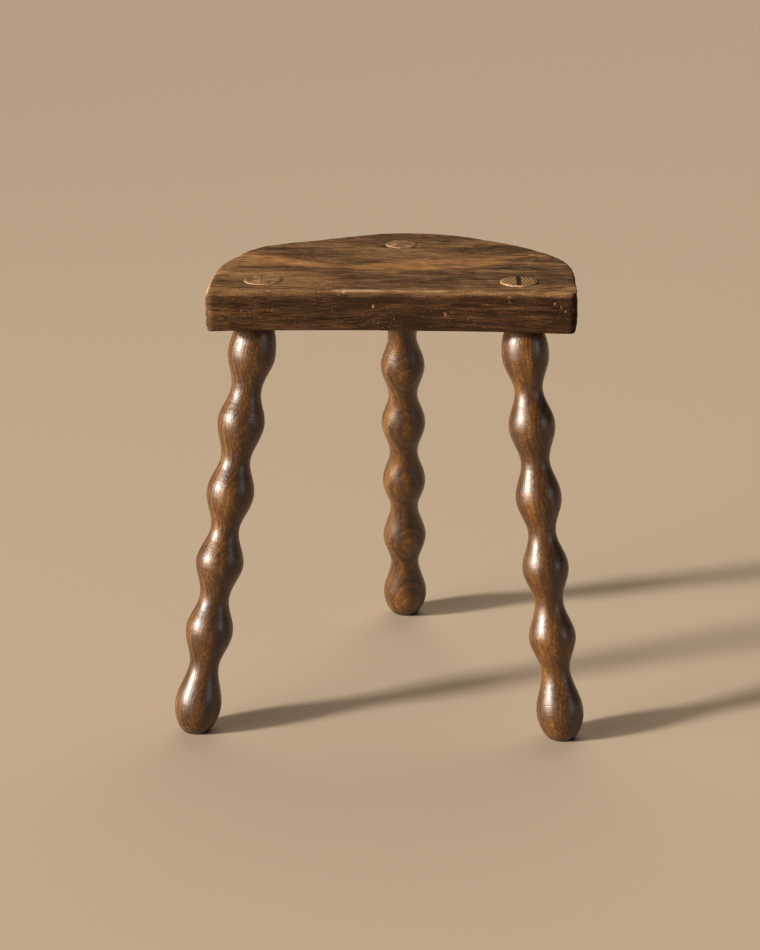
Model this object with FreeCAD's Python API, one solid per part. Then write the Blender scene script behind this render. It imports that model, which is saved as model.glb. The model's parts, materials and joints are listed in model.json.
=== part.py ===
"""Half-moon stool: one plank seat on three raked, bobbin-turned legs with wedged through tenons.

Millimetres, +Z up, floor at Z = 0. The front edge of the seat faces -Y and its rounded back +Y.
The origin lies on the floor, under the middle of the box that the whole stool fills.
"""
import FreeCAD, Part
import math
import os

from FreeCAD import Placement, Rotation, Vector

# Seat plank
SEAT_HEIGHT = 450.0        # floor to the top of the seat
SEAT_THICKNESS = 40.0
SEAT_WIDTH = 356.0         # along the front, which is also the run of the grain
SEAT_DEPTH = 251.5         # front corners to the crown of the back
FRONT_HOLLOW = 8.0         # how far the front edge bows in at its middle
CROWN_SHIFT = 10.0         # the crown of the back sits this far right of the middle
LEFT_SIDE_RUN = 55.0       # how far the left end runs back at full width
RIGHT_SIDE_RUN = 85.0
CORNER_RADIUS = 7.0        # front corners, seen from above
TOP_ROUND = 6.0            # worn arris round the top
UNDER_ROUND = 2.0          # arris round the underside

# The back is sawn by eye: points on each side of it, in from the end and forward of the crown
HAUNCH_DROP = 122.0
LEFT_HAUNCH_INSET = 10.0
RIGHT_HAUNCH_INSET = 6.0
SHOULDER_DROP = 60.0
LEFT_SHOULDER_INSET = 51.0
RIGHT_SHOULDER_INSET = 46.5
BROW_INSET = 103.0
LEFT_BROW_DROP = 36.0
RIGHT_BROW_DROP = 24.0

# Turned legs, measured along the leg
BOBBINS = 6
BOBBIN_DIAMETER = 47.0
NECK_DIAMETER = 30.0
FOOT_RISE = 28.0           # floor to the widest part of the lowest bobbin
FOOT_NECK = 69.0           # floor to the lowest neck; the lowest bobbin is pear-shaped, the others are alike
FOOT_FLAT = 24.0           # flat that stands on the floor
TOP_RUN = 27.0             # widest part of the top bobbin to where it has run out into the tenon

# Where each leg comes through the seat, from the ends, the front corners and the crown of the back
LEFT_INSET = 53.0
LEFT_SET_BACK = 45.0
RIGHT_INSET = 55.0
RIGHT_SET_BACK = 43.0
REAR_OFFSET = 7.0          # right of the middle
REAR_SET_IN = 54.5

# How each leg leans, in degrees: splay is sideways and away from the middle, rake is to the front or the back
LEFT_SPLAY_ANGLE = 9.1
LEFT_RAKE_ANGLE = 8.1
RIGHT_SPLAY_ANGLE = 6.3
RIGHT_RAKE_ANGLE = 9.0
REAR_SPLAY_ANGLE = 0.6
REAR_RAKE_ANGLE = 13.4

# Wedged tenons
FRONT_TENON = 36.0
REAR_TENON = 32.0
TENON_FIT = 0.0            # radial room in the bore: driven home tight
WEDGE_HEAD = 4.6           # thickness at the seat's top
WEDGE_TIP = 1.2            # thickness at the lower end
WEDGE_LENGTH = 30.0
WEDGE_FIT = 0.0            # room on each face of a wedge in its kerf
REAR_KERF_ANGLE = -11.0    # the rear kerf was sawn this many degrees off square to the grain

OVERCUT = 20.0             # how far cutting shapes run past what they cut
FACET = 0.02               # fineness of the facets that the stool's box is measured on
UP = Vector(0, 0, 1)


def seat_outline():
    """The seat seen from above, as a closed wire at Z = 0: one curve round the back and one arc along the front."""
    half = SEAT_WIDTH / 2

    def flank(side, side_run, haunch_inset, shoulder_inset, brow_drop):
        inset_drop = [(haunch_inset, HAUNCH_DROP), (shoulder_inset, SHOULDER_DROP), (BROW_INSET, brow_drop)]
        points = [Vector(side * half, 0, 0), Vector(side * half, side_run, 0)]
        for inset, drop in inset_drop:
            points.append(Vector(side * (half - inset), SEAT_DEPTH - drop, 0))
        return points

    right = flank(1, RIGHT_SIDE_RUN, RIGHT_HAUNCH_INSET, RIGHT_SHOULDER_INSET, RIGHT_BROW_DROP)
    left = flank(-1, LEFT_SIDE_RUN, LEFT_HAUNCH_INSET, LEFT_SHOULDER_INSET, LEFT_BROW_DROP)
    crown = Vector(CROWN_SHIFT, SEAT_DEPTH, 0)
    back = Part.BSplineCurve()
    back.interpolate(right + [crown] + left[::-1])
    front = Part.Arc(left[0], Vector(0, FRONT_HOLLOW, 0), right[0])
    return Part.Wire([back.toShape(), front.toShape()])


def edges_at(shape, height):
    """Edges of a shape that lie in one level plane."""
    flat = []
    for edge in shape.Edges:
        box = edge.BoundBox
        if abs(box.ZMin - height) < 1e-4 and abs(box.ZMax - height) < 1e-4:
            flat.append(edge)
    return flat


def front_corner_edges(shape):
    """The two upright edges where the front meets the ends."""
    upright = []
    for edge in shape.Edges:
        box = edge.BoundBox
        if box.ZLength > SEAT_THICKNESS / 2 and box.YMax < SEAT_DEPTH / 8:
            upright.append(edge)
    return upright


def seat_plank():
    """The plank before it is bored, with its arrises worn round."""
    underside = SEAT_HEIGHT - SEAT_THICKNESS
    plank = Part.Face(seat_outline()).extrude(UP * SEAT_THICKNESS)
    plank.translate(UP * underside)
    plank = plank.makeFillet(CORNER_RADIUS, front_corner_edges(plank))
    plank = plank.makeFillet(TOP_ROUND, edges_at(plank, SEAT_HEIGHT))
    return plank.makeFillet(UNDER_ROUND, edges_at(plank, underside))


class Leg:
    """Where one leg stands, how long it is and which tenon it has."""

    def __init__(self, x, y, splay, rake, tenon, wedge_turn=0.0):
        self.top = Vector(x, y, SEAT_HEIGHT)
        run_x = SEAT_HEIGHT * math.tan(math.radians(splay))
        run_y = SEAT_HEIGHT * math.tan(math.radians(rake))
        self.foot = Vector(x + run_x, y + run_y, 0)
        self.tenon_radius = tenon / 2
        self.wedge_turn = wedge_turn
        line = self.top - self.foot
        self.length = line.Length
        lean = line.getAngle(UP)
        # Height along the leg at which it first meets the slanting mouth of its bore
        seat_at = self.length * (SEAT_HEIGHT - SEAT_THICKNESS) / SEAT_HEIGHT
        self.mouth = seat_at - self.tenon_radius * math.tan(lean)
        self.placement = Placement(self.foot, Rotation(UP, line))

    def place(self, shape):
        """Move a shape made upright on the origin to where the leg stands."""
        shape.Placement = self.placement.multiply(shape.Placement)
        return shape


def legs():
    half = SEAT_WIDTH / 2
    return {
        "front_left": Leg(LEFT_INSET - half, LEFT_SET_BACK, -LEFT_SPLAY_ANGLE, -LEFT_RAKE_ANGLE, FRONT_TENON),
        "front_right": Leg(half - RIGHT_INSET, RIGHT_SET_BACK, RIGHT_SPLAY_ANGLE, -RIGHT_RAKE_ANGLE, FRONT_TENON),
        "rear": Leg(REAR_OFFSET, SEAT_DEPTH - REAR_SET_IN, REAR_SPLAY_ANGLE, REAR_RAKE_ANGLE, REAR_TENON,
                    REAR_KERF_ANGLE),
    }


def arc_from_upright(start, end):
    """One arc that leaves start along the leg's line and ends at end."""
    run = end.z - start.z
    step = end.x - start.x
    radius = (run * run + step * step) / (2 * abs(step))
    angle = math.asin(run / radius) / 2
    bend = math.copysign(radius * (1 - math.cos(angle)), step)
    return Part.Arc(start, Vector(start.x + bend, 0, start.z + radius * math.sin(angle)), end).toShape()


def swell(start, end):
    """Two equal arcs from a widest point to a neck or back, along the leg's line at both ends."""
    middle = (start + end) * 0.5
    lower = arc_from_upright(start, middle)
    # The upper arc is the lower one turned half way round about the middle
    upper = lower.copy()
    upper.rotate(middle, Vector(0, 1, 0), 180)
    return [lower, upper]


def turned_profile(leg):
    """Half section of a leg, radius along X and height along Z, from below its foot to above its tenon."""
    bobbin = BOBBIN_DIAMETER / 2
    neck = NECK_DIAMETER / 2
    pitch = (leg.mouth - TOP_RUN - FOOT_NECK) / (BOBBINS - 1.5)
    # The foot is the lower half of an egg that would close just under the floor
    egg = FOOT_RISE / math.sqrt(1 - (FOOT_FLAT / BOBBIN_DIAMETER) ** 2)
    bottom = Vector(0, 0, FOOT_RISE - egg)
    widest = Vector(bobbin, 0, FOOT_RISE)
    ellipse = Part.Ellipse(bottom, widest, Vector(0, 0, FOOT_RISE))
    edges = [Part.ArcOfEllipse(ellipse, ellipse.parameter(bottom), ellipse.parameter(widest)).toShape()]
    waist = Vector(neck, 0, FOOT_NECK)
    for _ in range(BOBBINS - 1):
        following = Vector(bobbin, 0, waist.z + pitch / 2)
        edges += swell(widest, waist) + swell(waist, following)
        widest = following
        waist = Vector(neck, 0, widest.z + pitch / 2)
    mouth = Vector(leg.tenon_radius, 0, leg.mouth)
    end = Vector(leg.tenon_radius, 0, leg.length + OVERCUT)
    axis_end = Vector(0, 0, end.z)
    edges.append(arc_from_upright(widest, mouth))
    edges.append(Part.LineSegment(mouth, end).toShape())
    edges.append(Part.LineSegment(end, axis_end).toShape())
    edges.append(Part.LineSegment(axis_end, bottom).toShape())
    return Part.Wire(edges)


def slab(low, high):
    """A level block, wide enough to trim a leg between two heights."""
    reach = SEAT_WIDTH + SEAT_DEPTH + SEAT_HEIGHT
    return Part.makeBox(2 * reach, 2 * reach, high - low, Vector(-reach, -reach, low))


def trimmed(shape):
    """Cut a leg or a wedge level with the floor and with the seat's top."""
    shape = shape.cut(slab(-SEAT_HEIGHT, 0))
    return shape.cut(slab(SEAT_HEIGHT, 2 * SEAT_HEIGHT))


def wedge_blank(leg, room):
    """The tapered wedge across the tenon, thick at the top, run on above the seat, with room on each face."""
    taper = (WEDGE_HEAD - WEDGE_TIP) / 2 / WEDGE_LENGTH
    tip = WEDGE_TIP / 2 + room
    head = WEDGE_HEAD / 2 + room + taper * OVERCUT
    low = leg.length - WEDGE_LENGTH
    high = leg.length + OVERCUT
    reach = leg.tenon_radius + OVERCUT
    corners = [Vector(-tip, -reach, low), Vector(tip, -reach, low),
               Vector(head, -reach, high), Vector(-head, -reach, high)]
    blank = Part.Face(Part.makePolygon(corners + corners[:1])).extrude(Vector(0, 2 * reach, 0))
    blank.rotate(Vector(0, 0, 0), UP, leg.wedge_turn)
    return blank


def tenon_round(leg, room):
    """The tenon's cylinder, run past both faces of the seat."""
    low = leg.mouth - OVERCUT
    return Part.makeCylinder(leg.tenon_radius + room, leg.length + OVERCUT - low, Vector(0, 0, low), UP)


def turned_leg(leg):
    turned = Part.Face(turned_profile(leg)).revolve(Vector(0, 0, 0), UP, 360)
    kerfed = turned.cut(wedge_blank(leg, WEDGE_FIT))
    return trimmed(leg.place(kerfed))


def wedge(leg):
    return trimmed(leg.place(wedge_blank(leg, 0).common(tenon_round(leg, 0))))


def build():
    """All the pieces by name, in the seat's own frame with the front corners at Y = 0."""
    pieces = {"seat": seat_plank()}
    for name, leg in legs().items():
        pieces["seat"] = pieces["seat"].cut(leg.place(tenon_round(leg, TENON_FIT)))
        pieces["leg_" + name] = turned_leg(leg)
        pieces["wedge_" + name] = wedge(leg)
    return pieces


def measured_box(shapes):
    """The box round the shapes' own surfaces, from fine facets."""
    box = FreeCAD.BoundBox()
    for shape in shapes:
        for point in shape.tessellate(FACET)[0]:
            box.add(point)
    return box


def main():
    os.makedirs("parts", exist_ok=True)
    pieces = build()
    box = measured_box(pieces.values())
    to_origin = Vector(-box.Center.x, -box.Center.y, 0)
    for name, shape in pieces.items():
        shape.translate(to_origin)
        print(name, "solids", len(shape.Solids), "valid", shape.isValid(), "cm3", round(shape.Volume / 1000, 1))
        shape.exportStep(os.path.join("parts", name + ".step"))
    print("box", [round(length, 2) for length in (box.XLength, box.YLength, box.ZLength)])
    print("middle of the front corners", [round(value, 2) for value in to_origin])


main()
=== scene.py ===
"""Half-moon stool: a worn plank seat on three bobbin-turned legs with wedged through tenons.

Metres, +Z up, floor at Z = 0, the front edge of the seat towards -Y.
"""
import json
import math
from functools import partial

import bmesh
import bpy
import numpy as np
from mathutils import Matrix, Vector
from mathutils.kdtree import KDTree


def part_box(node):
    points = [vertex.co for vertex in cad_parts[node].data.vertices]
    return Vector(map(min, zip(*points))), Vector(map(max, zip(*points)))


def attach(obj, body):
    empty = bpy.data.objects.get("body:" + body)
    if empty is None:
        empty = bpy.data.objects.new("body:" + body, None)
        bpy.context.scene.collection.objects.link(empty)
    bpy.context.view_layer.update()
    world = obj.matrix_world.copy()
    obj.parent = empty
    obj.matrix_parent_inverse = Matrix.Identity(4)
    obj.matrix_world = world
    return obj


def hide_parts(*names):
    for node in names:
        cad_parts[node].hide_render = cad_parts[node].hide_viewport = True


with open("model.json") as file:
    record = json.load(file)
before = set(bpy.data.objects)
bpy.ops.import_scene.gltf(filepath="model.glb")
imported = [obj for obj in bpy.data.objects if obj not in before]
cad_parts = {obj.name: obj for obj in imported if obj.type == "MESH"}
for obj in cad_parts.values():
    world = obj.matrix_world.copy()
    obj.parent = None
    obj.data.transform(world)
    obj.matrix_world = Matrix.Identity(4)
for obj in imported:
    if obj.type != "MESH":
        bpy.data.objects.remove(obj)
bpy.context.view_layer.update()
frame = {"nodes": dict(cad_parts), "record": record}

MM = 0.001
FAR = 10                       # metres, further off than any point of the stool

# Seat: its underside and top are read from the solid
SEAT_UNDER, SEAT_TOP = [round(corner[2], 6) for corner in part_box("seat")]
SEAT_MIDDLE = Vector((11.6 * MM, -27 * MM, 0))
SEAT_ARRIS = 6 * MM            # rounding of the solid's top edge, under which its wall is upright
BORE_GAP = 0.3 * MM            # dark line between tenon and seat
BORE_LENGTH = 80 * MM          # of the cutter, which passes both faces of the plank
# Where the back differs from the solid: place along X and Y, how far it stands out, and reach, all in mm
BACK_EASINGS = [((-66, 78), 1.2, 45), ((22, 116), -2.6, 26), ((82, 95), 5.2, 32), ((150, 43), -2.9, 42)]

# Turned legs
BOBBINS = 6
BOBBIN = 47 * MM
NECK = 30 * MM
FOOT_RISE = 28 * MM            # floor to the widest part of the lowest bobbin
FOOT_NECK = 69 * MM            # floor to the lowest neck
FOOT_FLAT = 24 * MM            # flat that stands on the floor
TOP_RUN = 27 * MM              # widest part of the top bobbin to the seat
HALF_TURNS = 2.0 * BOBBINS - 3  # of the profile's wave, from the lowest neck to the top bobbin
BLANK_START = 0.7              # share of the way from the floor to the point of the egg-shaped foot
SHARP_TURNING = math.radians(45)

# Hand work on the legs
STRAY = 1.0 * MM               # how far the turning strays from its profile
STRAY_RUN = 50 * MM            # length over which it strays
TOOL_RING = 0.04 * MM          # depth of the rings left by the tool
TOOL_RING_PITCH = 3 * MM
FOOT_CHIP = 1.0 * MM           # depth of the chips low on the foot
FOOT_CHIP_SIZE = 6 * MM
FOOT_CHIPS_FROM = 26 * MM      # height at which they start
FOOT_CHIPS_FULL = 6 * MM       # height at which they are deepest
FOOT_RADIUS = 22 * MM          # about, to spread them round the foot
END_RUB = 0.9 * MM             # how far the rim of the tenon's end is rubbed down
END_GRAIN = 0.5 * MM           # the end grain starts this far under the seat's top

# Wedges and their kerfs
WEDGE_HEAD = 4.6 * MM
WEDGE_TIP = 1.2 * MM
WEDGE_LENGTH = 30 * MM
WEDGE_SHARE = 0.98             # share of the tenon's width that the wedge fills
WEDGE_SINK = 0.2 * MM          # head below the end of the tenon
WEDGE_BRUISE = 0.35 * MM       # dents of the mallet in the head
WEDGE_BRUISE_SIZE = 4 * MM
KERF_GAP = 0.1 * MM
KERF_ROOM = 1 * MM             # under the tip of the wedge
KERF_OVER = 6 * MM             # the kerf's cutter passes the top by this
KERF_WIDTH = 60 * MM           # of the cutter, wider than any tenon

# Where each leg comes through the seat, its tenon, how far that stands proud because the seat has shrunk,
# the turn of its kerf in degrees, how far its middle bows to the right and is slimmer, where the heart of
# the tree lay beside it, in mm, and how clearly its yearly layers show
LEGS = {
    "front_left": {"top": (-113.41, -92.06), "tenon": 36, "proud": 1.1, "turn": 0, "bow": 0, "slim": 0.2,
                   "heart": (-30, 26), "figured": 0.09, "seed": 3},
    "front_right": {"top": (134.59, -94.06), "tenon": 36, "proud": 1.4, "turn": 0, "bow": -0.8, "slim": 0.9,
                    "heart": (-58, 14), "figured": 0.07, "seed": 8},
    "rear": {"top": (18.59, 59.94), "tenon": 32, "proud": 0.4, "turn": -11, "bow": 0.4, "slim": 0,
             "heart": (-12, 44), "figured": 0.12, "seed": 5},
}
# Where each leg stands on the floor, with the other mounts of the record
MOUNTS = {mount["name"]: Vector(mount["pos_m"]) for mount in frame["record"]["mounts"]}


def linear(hex_colour):
    """An sRGB hex colour as linear RGBA."""
    parts = [int(hex_colour[i:i + 2], 16) / 255 for i in (1, 3, 5)]
    return tuple(c / 12.92 if c <= 0.04045 else ((c + 0.055) / 1.055) ** 2.4 for c in parts) + (1.0,)


def feed(tree, sockets, values):
    """Link each named input to an output, or set it to a plain value."""
    for name, value in values.items():
        if isinstance(value, bpy.types.NodeSocket):
            tree.links.new(value, sockets[name])
        else:
            sockets[name].default_value = value


def node(tree, kind, inputs=None, stops=(), **settings):
    """Add a node with its settings, colour stops, values and links, and give its outputs."""
    made = tree.nodes.new(kind)
    for name, value in settings.items():
        setattr(made, name, value)
    for i, (place, colour) in enumerate(stops):
        elements = made.color_ramp.elements
        element = elements[i] if i < len(elements) else elements.new(place)
        element.position = place
        element.color = linear(colour)
    feed(tree, made.inputs, inputs or {})
    return made.outputs


def new_material(name):
    """A material, its node adder, and the function that feeds its shader."""
    material = bpy.data.materials.new(name)
    material.use_nodes = True
    tree = material.node_tree
    return material, partial(node, tree), partial(feed, tree, tree.nodes["Principled BSDF"].inputs)


# Materials

# Widths of the plank's figure, which is drawn out along the grain
WANDER = 75 * MM
BAND = 26 * MM
STREAK = 6 * MM
HAIR = 1.3 * MM
SPECK = 2.2 * MM
PORE = 1.1 * MM
SMUDGE = 4.5 * MM
RUB_PATCH = 3 * MM
GRAIN_SWAY = 22 * MM           # how far the grain wanders to either side
PLANK_RELIEF = 0.35 * MM
# Painted shade on the upright walls deepens from left to right, away from the light, and dark smudges on them
# grow from the top's arris down to the underside
WALL_SHADE_LEFT = -170 * MM
WALL_SHADE_RIGHT = 150 * MM
WALL_DARK_HIGH = SEAT_TOP - 10 * MM
WALL_DARK_LOW = SEAT_UNDER + 2 * MM


def old_plank_wood():
    """Brown hardwood plank, hand planed, stained, waxed and worn: streaks along X at several widths, warm
    bands of heartwood, dark stains, fine pores, a dull dry shine, bare tan wood on the rubbed arrises,
    painted highlights on the left end's rim and along the front arris, painted shade on the upright walls
    that deepens to the right, and a broad painted shade over the right end of the top."""
    material, add, finish = new_material("old_waxed_plank")
    place = add("ShaderNodeTexCoord")["Object"]

    # The grain wanders from side to side, once in about 250 mm
    drawn_out = add("ShaderNodeMapping", {"Vector": place, "Scale": (0.3, 1, 1)})[0]
    wander = add("ShaderNodeTexNoise", {"Vector": drawn_out, "Scale": 1 / WANDER, "Detail": 2})[0]
    shift = add("ShaderNodeMapRange", {"Value": wander, "To Min": -GRAIN_SWAY, "To Max": GRAIN_SWAY})[0]
    sideways = add("ShaderNodeCombineXYZ", {"Y": shift, "Z": shift})[0]
    grain = add("ShaderNodeVectorMath", {0: place, 1: sideways}, operation="ADD")[0]

    # Growth bands, streaks and hair lines, finer on the upright edges, and specks
    band_grain = add("ShaderNodeMapping", {"Vector": grain, "Scale": (0.26, 1, 1.2)})[0]
    bands = add("ShaderNodeTexNoise", {"Vector": band_grain, "Scale": 1 / BAND, "Detail": 3,
                                       "Roughness": 0.5})[0]
    streak_grain = add("ShaderNodeMapping", {"Vector": grain, "Scale": (0.13, 1, 2.2)})[0]
    streaks = add("ShaderNodeTexNoise", {"Vector": streak_grain, "Scale": 1 / STREAK, "Detail": 3,
                                         "Roughness": 0.6})[0]
    hair_grain = add("ShaderNodeMapping", {"Vector": grain, "Scale": (0.09, 0.8, 1.6)})[0]
    hairs = add("ShaderNodeTexNoise", {"Vector": hair_grain, "Scale": 1 / HAIR, "Detail": 3,
                                       "Roughness": 0.6})[0]
    broad = add("ShaderNodeMix", {"Factor": 0.36, "A": bands, "B": streaks})[0]
    lined = add("ShaderNodeMix", {"Factor": 0.34, "A": broad, "B": hairs})[0]
    specks = add("ShaderNodeTexNoise", {"Vector": place, "Scale": 1 / SPECK, "Detail": 2})[0]
    figure = add("ShaderNodeMix", {"Factor": 0.15, "A": lined, "B": specks})[0]
    wood = add("ShaderNodeValToRGB", {"Fac": figure},
               stops=[(0.40, "#342413"), (0.455, "#4E3620"), (0.50, "#60462C"), (0.545, "#735637"),
                      (0.61, "#8D6B45")])["Color"]

    # Warm heartwood and dark stains where the plank has them, and a broad painted shade over the right end of
    # the top
    warm = add("ShaderNodeAttribute", attribute_name="warm")["Fac"]
    warm_streaks = add("ShaderNodeMapRange", {"Value": lined, "From Min": 0.38, "From Max": 0.54})[0]
    warm_mask = add("ShaderNodeMath", {0: warm, 1: warm_streaks}, operation="MULTIPLY")[0]
    warmed = add("ShaderNodeMix", {"Factor": warm_mask, "A": wood, "B": linear("#9B7042")},
                 data_type="RGBA")[2]
    stain = add("ShaderNodeAttribute", attribute_name="stain")["Fac"]
    stain_streaks = add("ShaderNodeMapRange", {"Value": streaks, "From Min": 0.65, "From Max": 0.35})[0]
    stain_mask = add("ShaderNodeMath", {0: stain, 1: stain_streaks}, operation="MULTIPLY")[0]
    stained = add("ShaderNodeMix", {"Factor": stain_mask, "A": warmed, "B": linear("#291E14")},
                  data_type="RGBA")[2]

    # Pores about 2 mm wide on the top and 24 mm long, coarser than real ones so that they show
    pore_grain = add("ShaderNodeMapping", {"Vector": grain, "Scale": (0.045, 0.6, 1)})[0]
    pores = add("ShaderNodeTexNoise", {"Vector": pore_grain, "Scale": 1 / PORE, "Detail": 1})[0]
    pore_mask = add("ShaderNodeMapRange", {"Value": pores, "From Min": 0.50, "From Max": 0.66,
                                           "To Max": 0.7})[0]
    pored = add("ShaderNodeMix", {"Factor": pore_mask, "A": stained, "B": linear("#21140A")},
                data_type="RGBA")[2]

    # Painted shade: the walls darken as their faces turn from up, more so to the right, away from the light;
    # dark smudges over that shade grow towards the underside
    facing = add("ShaderNodeNewGeometry")["Normal"]
    upward = add("ShaderNodeSeparateXYZ", {0: facing})["Z"]
    side = add("ShaderNodeSeparateXYZ", {0: place})["X"]
    painted_shade_share = add("ShaderNodeMapRange", {"Value": side, "From Min": WALL_SHADE_LEFT, "From Max": WALL_SHADE_RIGHT,
                                       "To Min": 0.55})[0]
    wall_shade_mask = add("ShaderNodeMapRange", {"Value": upward, "From Min": 0.6, "From Max": 0.1,
                                           "To Max": painted_shade_share})[0]
    # Painted shade multiplied into the walls
    wall_shaded = add("ShaderNodeMix", {"Factor": wall_shade_mask, "A": pored, "B": linear("#96836C")},
                   data_type="RGBA", blend_type="MULTIPLY")[2]
    height = add("ShaderNodeSeparateXYZ", {0: place})["Z"]
    low = add("ShaderNodeMapRange", {"Value": height, "From Min": WALL_DARK_HIGH, "From Max": WALL_DARK_LOW,
                                     "To Min": 0.6, "To Max": 0.85})[0]
    smudge_grain = add("ShaderNodeMapping", {"Vector": grain, "Scale": (0.14, 0.14, 1)})[0]
    smudges = add("ShaderNodeTexNoise", {"Vector": smudge_grain, "Scale": 1 / SMUDGE, "Detail": 5,
                                         "Roughness": 0.7})[0]
    smudge_mask = add("ShaderNodeMapRange", {"Value": smudges, "From Min": 0.42, "From Max": 0.60,
                                             "To Max": low})[0]
    smudged_shade = add("ShaderNodeMath", {0: wall_shade_mask, 1: smudge_mask}, operation="MULTIPLY")[0]
    smudged_and_shaded = add("ShaderNodeMix", {"Factor": smudged_shade, "A": wall_shaded, "B": linear("#180D04")},
                 data_type="RGBA")[2]

    # Bare wood where it is rubbed, palest where it is rubbed most; the worn attribute also carries the
    # painted highlights on the left end's rim and along the front arris
    worn = add("ShaderNodeAttribute", attribute_name="worn")["Fac"]
    patchy = add("ShaderNodeTexNoise", {"Vector": streak_grain, "Scale": 1 / RUB_PATCH, "Detail": 5,
                                        "Roughness": 0.7})[0]
    rub = add("ShaderNodeMath", {0: worn, 1: patchy}, operation="MULTIPLY")[0]
    rub_and_highlight_mask = add("ShaderNodeMapRange", {"Value": rub, "From Min": 0.08, "From Max": 0.48})[0]
    bare = add("ShaderNodeValToRGB", {"Fac": worn}, stops=[(0.4, "#72543A"), (1.0, "#937C5E")])["Color"]
    rubbed = add("ShaderNodeMix", {"Factor": rub_and_highlight_mask, "A": smudged_and_shaded, "B": bare}, data_type="RGBA")[2]
    # Chips in the finish, with ragged edges, and a few pale specks
    chipped = add("ShaderNodeAttribute", attribute_name="chipped")["Fac"]
    ragged = add("ShaderNodeMath", {0: chipped, 1: specks}, operation="ADD")[0]
    chip_mask = add("ShaderNodeMapRange", {"Value": ragged, "From Min": 0.68, "From Max": 0.90,
                                           "To Max": 0.85})[0]
    colour = add("ShaderNodeMix", {"Factor": chip_mask, "A": rubbed, "B": linear("#9C7F5B")},
                 data_type="RGBA")[2]

    rough = add("ShaderNodeMapRange", {"Value": streaks, "To Min": 0.50, "To Max": 0.75})[0]
    relief = add("ShaderNodeMath", {0: figure, 1: pore_mask}, operation="SUBTRACT")[0]
    bump = add("ShaderNodeBump", {"Height": relief, "Strength": 0.4, "Distance": PLANK_RELIEF})[0]
    finish({"Base Color": colour, "Roughness": rough, "Normal": bump, "IOR": 1.45,
            "Specular IOR Level": 0.15})
    return material


# Widths of the turned wood's figure
FLECK_BEND = 30 * MM
FLECK_SWAY = 20 * MM           # how far the flecks are bent to the side
FLECK = 1.3 * MM
YEAR = 2.8 * MM                # thickness of a yearly layer
YEAR_DRIFT = 20 * MM
YEAR_WAVER = 2.5 * MM
BLOTCH = 16 * MM
VARNISH_SPECK = 2.4 * MM
FINE_RING = 1.3 * MM           # between the finest rings of the tool
LEG_RELIEF = 0.2 * MM
# Painted contact shade darkens the foot from the first height down to the second
FOOT_SHADE_HIGH = 9 * MM
FOOT_SHADE_LOW = 1 * MM


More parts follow.
